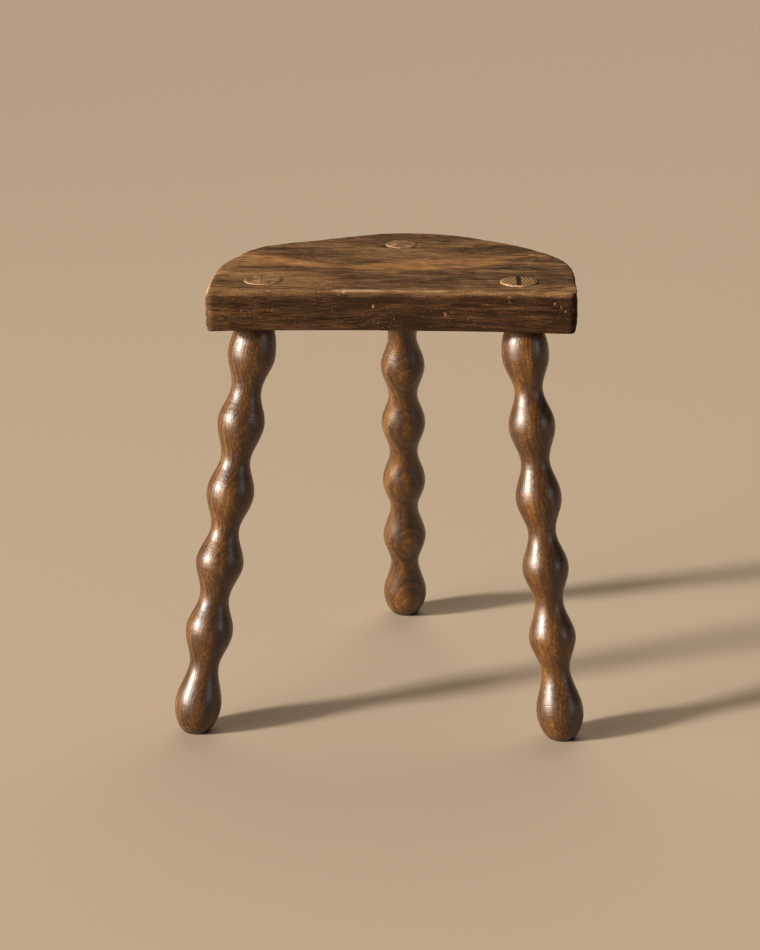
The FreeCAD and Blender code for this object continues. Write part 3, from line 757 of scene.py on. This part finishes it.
def ripples(places, wavelengths, seed, waves=16):
    """A smooth random field of about unit size at these places, with these wavelengths along X, Y and Z."""
    chance = np.random.default_rng(seed)
    total = np.zeros(len(places))
    for _ in range(waves):
        way = chance.normal(size=3)
        way *= chance.uniform(0.7, 1.4) / np.linalg.norm(way)
        total += np.sin(places @ (2 * np.pi * way / np.array(wavelengths)) + chance.uniform(0, 2 * np.pi))
    return total / math.sqrt(waves / 2)


def smooth_step(values, low, high):
    """0 up to the low value, 1 from the high one, and a smooth rise between."""
    share = np.clip((values - low) / (high - low), 0, 1)
    return share * share * (3 - 2 * share)


def fading(distance, reach):
    """1 at no distance, fading smoothly to almost nothing at twice the reach."""
    return np.exp(-(distance / reach) ** 2)


def evened(ring, times):
    """A closed row of values or points with its kinks smoothed out."""
    for _ in range(times):
        ring = (np.roll(ring, 1, 0) + 2 * ring + np.roll(ring, -1, 0)) / 4
    return ring


def gently(ring, rise):
    """A closed row of values held down so that it rises no faster than this from step to step."""
    for _ in range(60):
        ring = np.minimum(ring, np.minimum(np.roll(ring, 1), np.roll(ring, -1)) + rise)
    return evened(ring, 8)


def seat_outline(count):
    """Evenly spaced points round the seat's wall, read from the solid, and the outward direction at each."""
    corners = np.array([v.co for v in frame["nodes"]["seat"].data.vertices])
    wall = corners[np.abs(corners[:, 2] - (SEAT_TOP - SEAT_ARRIS)) < ON_WALL][:, :2]
    from_middle = wall - np.array(SEAT_MIDDLE[:2])
    ring = wall[np.argsort(np.arctan2(from_middle[:, 1], from_middle[:, 0]))]
    ring = ring[np.linalg.norm(ring - np.roll(ring, 1, 0), axis=1) > SAME_POINT]
    closed = np.vstack([ring, ring[:1]])
    run = np.concatenate([[0], np.cumsum(np.linalg.norm(np.diff(closed, axis=0), axis=1))])
    steps = np.linspace(0, run[-1], count, endpoint=False)
    points = evened(np.column_stack([np.interp(steps, run, closed[:, k]) for k in (0, 1)]), 2)
    tangent = evened(np.roll(points, -1, 0) - np.roll(points, 1, 0), 4)
    outward = np.column_stack([tangent[:, 1], -tangent[:, 0]])
    outward /= np.linalg.norm(outward, axis=1)[:, None]
    fuller = np.zeros(count)
    for place, stand, reach in BACK_EASINGS:
        away = np.linalg.norm(points - np.array(place) * MM, axis=1)
        fuller += stand * MM * fading(away, reach * MM)
    return points + outward * fuller[:, None], outward


def knock_places(points):
    """All the knocks as place, radius and depth; those on the front are set on the outline."""
    places = []
    for x, y, size, depth in TOP_KNOCKS:
        places.append((np.array([x * MM, y * MM, SEAT_TOP]), size * MM, depth * MM))
    front = points[points[:, 1] < SEAT_MIDDLE.y - FRONT_REACH]
    front = front[np.argsort(front[:, 0])]
    for x, z, size, depth in FRONT_KNOCKS:
        y = np.interp(x * MM, front[:, 0], front[:, 1])
        on_arris = ARRIS_CURVE * max(z - ARRIS_FROM, 0) ** 2 * MM
        places.append((np.array([x * MM, y + on_arris, z * MM]), size * MM, depth * MM))
    return places


def plank(points, outward):
    """Places and faces of the plank, with its arrises rubbed round."""
    around = len(points)
    middle = np.array(SEAT_MIDDLE[:2])
    front = smooth_step(-outward[:, 1], 0.75, 0.97)
    left = smooth_step(-outward[:, 0], 0.6, 0.95)
    right = smooth_step(outward[:, 0], 0.7, 0.95)
    waver = ripples(np.column_stack([points, np.full(around, SEAT_TOP)]), ROUND_WAVES, 11)
    shares = np.stack([np.ones(around), front, left, right, waver])
    # The rounding stays inside the corners' own curve
    ahead = np.roll(outward, -1, 0)
    turn = np.arcsin(np.clip(outward[:, 0] * ahead[:, 1] - outward[:, 1] * ahead[:, 0], -1, 1))
    step = np.linalg.norm(np.roll(points, -1, 0) - points, axis=1)
    room = CORNER_SHARE * step / np.maximum(turn, 1e-4)
    reach_in = gently(np.minimum(TOP_IN @ shares * MM, room), ROUND_RISE)
    reach_down = evened(TOP_DOWN @ shares * MM, 12)
    under_in = gently(np.minimum(UNDER_IN @ shares * MM, room), ROUND_RISE)
    under_up = UNDER_UP @ shares * MM

    rows = []

    def ring(inset, heights, share=1.0):
        flat = middle + (points - outward * inset[:, None] - middle) * share
        rows.append(np.column_stack([flat, np.broadcast_to(heights, around)]))

    for share in np.linspace(0, 1, TOP_ROWS)[1:-1]:
        ring(reach_in, SEAT_TOP, share)
    for angle in np.linspace(0, math.pi / 2, ARRIS_ROWS):
        ring(reach_in * (1 - math.sin(angle)), SEAT_TOP - reach_down * (1 - math.cos(angle)))
    wall_top = SEAT_TOP - reach_down
    wall_foot = SEAT_UNDER + under_up
    for share in np.linspace(0, 1, WALL_ROWS)[1:-1]:
        ring(np.zeros(around), wall_top + (wall_foot - wall_top) * share)
    for angle in np.linspace(0, math.pi / 2, UNDER_ARRIS_ROWS):
        ring(under_in * (1 - math.cos(angle)), SEAT_UNDER + under_up * (1 - math.sin(angle)))
    for share in np.linspace(1, 0, UNDER_ROWS)[1:-1]:
        ring(under_in, SEAT_UNDER, share)
    places = np.vstack(rows + [[[*middle, SEAT_TOP], [*middle, SEAT_UNDER]]])

    faces = []
    index = np.arange(around)
    following = np.roll(index, -1)
    for row in range(len(rows) - 1):
        here, below = row * around, (row + 1) * around
        faces += np.column_stack([here + index, below + index, below + following, here + following]).tolist()
    top_pole, under_pole = len(places) - 2, len(places) - 1
    last = (len(rows) - 1) * around
    faces += [(top_pole, i, j) for i, j in zip(index.tolist(), following.tolist())]
    faces += [(under_pole, last + j, last + i) for i, j in zip(index.tolist(), following.tolist())]
    return places, faces


def unevenness(places, normals, outline):
    """How far each place stands off the true plank: planing, raised grain, dish, knocks and bore rims."""
    on_top = smooth_step(normals[:, 2], 0.5, 0.95)
    on_wall = 1 - smooth_step(np.abs(normals[:, 2]), 0.3, 0.8)
    from_middle = np.linalg.norm((places[:, :2] - np.array(SEAT_MIDDLE[:2])) / np.array(DISH_REACH), axis=1)
    move = PLANED * ripples(places, PLANED_WAVES, 21)
    move += RAISED_GRAIN * ripples(places, RAISED_GRAIN_WAVES, 22)
    move += WALL_TOOLED * on_wall * ripples(places, WALL_TOOLED_WAVES, 23)
    move -= on_top * DISH * fading(from_middle, 1)
    for place, size, depth in knock_places(outline):
        move -= depth * fading(np.linalg.norm(places - place, axis=1), size)
    for leg in LEGS.values():
        past = np.linalg.norm(places[:, :2] - np.array(leg["top"]) * MM, axis=1) - leg["tenon"] / 2 * MM
        move -= on_top * BORE_RIM * np.exp(-np.maximum(past, 0) / BORE_RIM_REACH)
    return move


def worn_seat(wood):
    """The plank: rubbed front arris, softened ends, uneven planed top, knocks, and a bore for each tenon."""
    outline, outward = seat_outline(SEAT_AROUND)
    places, faces = plank(outline, outward)
    mesh = bpy.data.meshes.new("worn_plank_seat")
    mesh.from_pydata(places.tolist(), [], faces)
    mesh.update()
    normals = np.array([v.normal for v in mesh.vertices])
    worn = places + normals * unevenness(places, normals, outline)[:, None]
    mesh.vertices.foreach_set("co", worn.astype(np.float32).ravel())
    mesh.update()
    piece = bpy.data.objects.new("worn_plank_seat", mesh)
    bpy.context.scene.collection.objects.link(piece)
    bore_for_tenons(piece)
    rubbed_lit_and_stained(piece.data, outline, outward)
    piece.data.materials.clear()
    piece.data.materials.append(wood)
    piece.data.shade_smooth()
    piece.data.set_sharp_from_angle(angle=SHARP_PLANK)
    return piece


def bore_for_tenons(piece):
    """Bore the seat along each leg, a hair wider than its tenon."""
    cutters = bmesh.new()
    for name, leg in LEGS.items():
        foot, top, _ = leg_line(name)
        way = (top - foot).normalized()
        radius = leg["tenon"] / 2 * MM + BORE_GAP
        turn = Vector((0, 0, 1)).rotation_difference(way).to_matrix().to_4x4()
        middle = top - way * (SEAT_TOP - SEAT_UNDER) / 2
        bmesh.ops.create_cone(cutters, cap_ends=True, segments=96, radius1=radius, radius2=radius,
                              depth=BORE_LENGTH, matrix=Matrix.Translation(middle) @ turn)
    mesh = bpy.data.meshes.new("bores")
    cutters.to_mesh(mesh)
    cutters.free()
    cutter = bpy.data.objects.new("bores", mesh)
    bpy.context.scene.collection.objects.link(cutter)
    modifier = piece.modifiers.new("bores", "BOOLEAN")
    modifier.operation = "DIFFERENCE"
    modifier.solver = "MANIFOLD"
    modifier.object = cutter
    depsgraph = bpy.context.evaluated_depsgraph_get()
    bored = bpy.data.meshes.new_from_object(piece.evaluated_get(depsgraph), depsgraph=depsgraph)
    piece.modifiers.clear()
    piece.data = bored
    bpy.data.objects.remove(cutter)


def along_bands(places, bands):
    """How much each place belongs to bands drawn through points along X and Y."""
    total = np.zeros(len(places))
    for half_width, strength, line in bands:
        line = np.array(line) * MM
        near = np.full(len(places), 1.0)
        for start, end in zip(line[:-1], line[1:]):
            run = end - start
            share = np.clip((places[:, :2] - start) @ run / (run @ run), 0, 1)
            near = np.minimum(near, np.linalg.norm(places[:, :2] - start - share[:, None] * run, axis=1))
        total += strength * fading(near, half_width * MM)
    return total


def rubbed_lit_and_stained(mesh, outline, outward):
    """Store how much each point of the seat is rubbed bare or painted with a highlight, chipped, stained or
    painted with shade, or warm heartwood.
    """
    tree = KDTree(len(outline))
    for i, (x, y) in enumerate(outline):
        tree.insert((x, y, 0), i)
    tree.balance()
    places = np.array([v.co for v in mesh.vertices])
    nearest = [tree.find((x, y, 0)) for x, y, _ in places]
    inset = np.array([found[2] for found in nearest])
    facing = outward[[found[1] for found in nearest]]
    drop = SEAT_TOP - places[:, 2]
    on_front = smooth_step(-facing[:, 1], 0.8, 0.97)
    on_left = smooth_step(-facing[:, 0], 0.6, 0.9)
    # A thin bright line along the front arris, partly rubbed bare wood and partly a painted highlight,
    # clearest right of the middle, over a broad soft rub
    clear = np.interp(places[:, 0] / MM, *zip(*RUB_GLINT_CLEAR))
    broken = smooth_step(ripples(places, RUB_GLINT_BREAKS, 31), -2.4, 1.0)
    line = on_front * clear * broken * fading(inset - RUB_GLINT_IN, RUB_GLINT_WIDTH) * fading(drop, RUB_GLINT_DOWN)
    soft = on_front * fading(inset, SOFT_IN) * fading(drop, SOFT_DOWN)
    # Painted highlight along the rim of the left end, which faces the light; it is stored with the wear
    left_highlight = on_left * fading(inset - LEFT_HIGHLIGHT_IN, LEFT_HIGHLIGHT_WIDTH) * fading(drop, LEFT_HIGHLIGHT_DOWN)
    left_rub = on_left * fading(inset, LEFT_RUB_IN) * smooth_step(-places[:, 1], LEFT_RUB_FROM, LEFT_RUB_FULL)
    # The worn share also holds the painted highlight of the left rim and, in part, of the front line
    worn = 0.95 * line + 0.30 * soft + 0.8 * left_highlight + 0.35 * left_rub
    # Small chips show pale wood, and large old knocks have darkened
    chipped = np.zeros(len(places))
    for place, size, depth in knock_places(outline):
        pale = 0.6 * min(depth / PALE_DEPTH, 1.0) * min(PALE_SIZE / size, 1.0)
        chipped += pale * fading(np.linalg.norm(places - place, axis=1), size)
    near_top = fading(drop, TOP_SKIN)
    stain = along_bands(places, STAINS_AND_SHADE) * near_top
    warm = along_bands(places, WARM_BANDS) * near_top
    for name, values in [("worn", worn), ("chipped", chipped), ("stain", stain), ("warm", warm)]:
        attribute = mesh.attributes.new(name, "FLOAT", "POINT")
        attribute.data.foreach_set("value", np.clip(values, 0, 1.5).astype(np.float32))


# Floor, light and camera

# The floor is flat out to the first radius and rises towards its edge, in metres
FLOOR_FLAT = 10
FLOOR_EDGE = 26
FLOOR_RISE = 1.3
FLOOR_STEPS = 8

# Way to each light, spread in degrees, strength, colour, and whether it shows on matt and on shiny surfaces
LIGHTS = {
    "key": ((-0.871, -0.356, 0.339), 8, 7.4, "#FFF3E4", True, True),
    "right_fill": ((0.84, -0.45, 0.24), 20, 0.42, "#E6E6EA", False, True),
    "back_fill": ((0.10, 0.72, 0.68), 60, 2.0, "#FFEEDA", True, False),
}
LIGHT_DISTANCE = 5

# A window that reaches down to the floor on the left
WINDOW_PLACE = Vector((-3.5, -1.9, 1.22))
WINDOW_WIDTH = 2.8
WINDOW_HEIGHT = 2.4
WINDOW_SPREAD = math.radians(90)
WINDOW_STRENGTH = 64

# Camera: its focal length is measured in pixels of a picture this high
FOCAL_PIXELS = 2425
PICTURE_HEIGHT_PIXELS = 950
SENSOR = 36
CAMERA_PLACE = (0.0480, -2.3747, 1.0371)
CAMERA_TILT = math.radians(71)
CAMERA_TURN = math.radians(1.2)


def pale_floor():
    """Plain matt paint on a floor that rises far off, so that no edge shows."""
    mesh = bpy.data.meshes.new("floor")
    rings = bmesh.new()
    bmesh.ops.create_circle(rings, cap_ends=True, radius=FLOOR_FLAT, segments=96)
    rim = rings.edges[:]
    for step in range(1, FLOOR_STEPS + 1):
        share = step / FLOOR_STEPS
        wider = bmesh.ops.extrude_edge_only(rings, edges=rim)["geom"]
        rim = [part for part in wider if isinstance(part, bmesh.types.BMEdge) and part.is_boundary]
        for corner in {corner for edge in rim for corner in edge.verts}:
            outward = Vector((corner.co.x, corner.co.y, 0)).normalized()
            corner.co = outward * (FLOOR_FLAT + (FLOOR_EDGE - FLOOR_FLAT) * share)
            corner.co.z = FLOOR_RISE * share ** 2
    bmesh.ops.recalc_face_normals(rings, faces=rings.faces)
    rings.to_mesh(mesh)
    rings.free()
    mesh.shade_smooth()
    paint, _, finish = new_material("pale_floor")
    finish({"Base Color": linear("#A19484"), "Roughness": 0.8, "Specular IOR Level": 0.0})
    mesh.materials.append(paint)
    floor = bpy.data.objects.new("floor", mesh)
    bpy.context.scene.collection.objects.link(floor)


def aimed(name, data, place, way):
    """A light in the scene at a place, shining this way."""
    lamp = bpy.data.objects.new(name, data)
    lamp.location = place
    lamp.rotation_euler = way.to_track_quat("-Z", "Y").to_euler()
    bpy.context.scene.collection.objects.link(lamp)
    return lamp


def studio_light():
    """Low light and a soft window from the left, weak fills from the right and the back, and a dim sky."""
    for name, (way, spread, strength, colour, on_matt, on_shiny) in LIGHTS.items():
        light = bpy.data.lights.new(name, "SUN")
        light.angle = math.radians(spread)
        light.energy = strength
        light.color = linear(colour)[:3]
        lamp = aimed(name, light, Vector(way) * LIGHT_DISTANCE, -Vector(way))
        lamp.visible_diffuse = on_matt
        lamp.visible_glossy = on_shiny

    window = bpy.data.lights.new("window", "AREA")
    window.shape = "RECTANGLE"
    window.size = WINDOW_WIDTH
    window.size_y = WINDOW_HEIGHT
    window.spread = WINDOW_SPREAD
    window.energy = WINDOW_STRENGTH
    window.color = linear("#FFECD8")[:3]
    level_way = Vector((-WINDOW_PLACE.x, -WINDOW_PLACE.y, 0))
    aimed("window", window, WINDOW_PLACE, level_way).visible_camera = False

    world = bpy.data.worlds.new("studio")
    bpy.context.scene.world = world
    world.use_nodes = True
    sky = world.node_tree.nodes["Background"]
    feed(world.node_tree, sky.inputs, {"Color": linear("#E8DAC8"), "Strength": 0.07})


def studio_camera():
    """A camera in front of the stool and above it, and colours that are shown as they are."""
    scene = bpy.context.scene
    scene.view_settings.view_transform = "Standard"
    camera = bpy.data.cameras.new("camera")
    camera.sensor_width = SENSOR
    camera.lens = FOCAL_PIXELS * SENSOR / PICTURE_HEIGHT_PIXELS
    eye = bpy.data.objects.new("camera", camera)
    eye.location = CAMERA_PLACE
    eye.rotation_euler = (CAMERA_TILT, 0, CAMERA_TURN)
    scene.collection.objects.link(eye)
    scene.camera = eye


def main():
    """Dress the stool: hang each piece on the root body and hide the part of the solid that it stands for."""
    pale_floor()
    studio_light()
    studio_camera()
    end_wood = sawn_end_grain("sawn_tenon_end", [(0.32, "#402C1B"), (0.5, "#6B5034"), (0.68, "#9F7B51")],
                              right_shade="#EFEFEF")
    wedge_wood = sawn_end_grain("old_wedge_end", [(0.3, "#59422B"), (0.5, "#6A5036"), (0.7, "#7B6042")],
                                right_shade="#69543C")
    pieces = legs_and_wedges(turned_leg_wood(), end_wood, wedge_wood)
    pieces["seat"] = worn_seat(old_plank_wood())
    for stands_for, piece in pieces.items():
        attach(piece, "root")
        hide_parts(stands_for)


main()
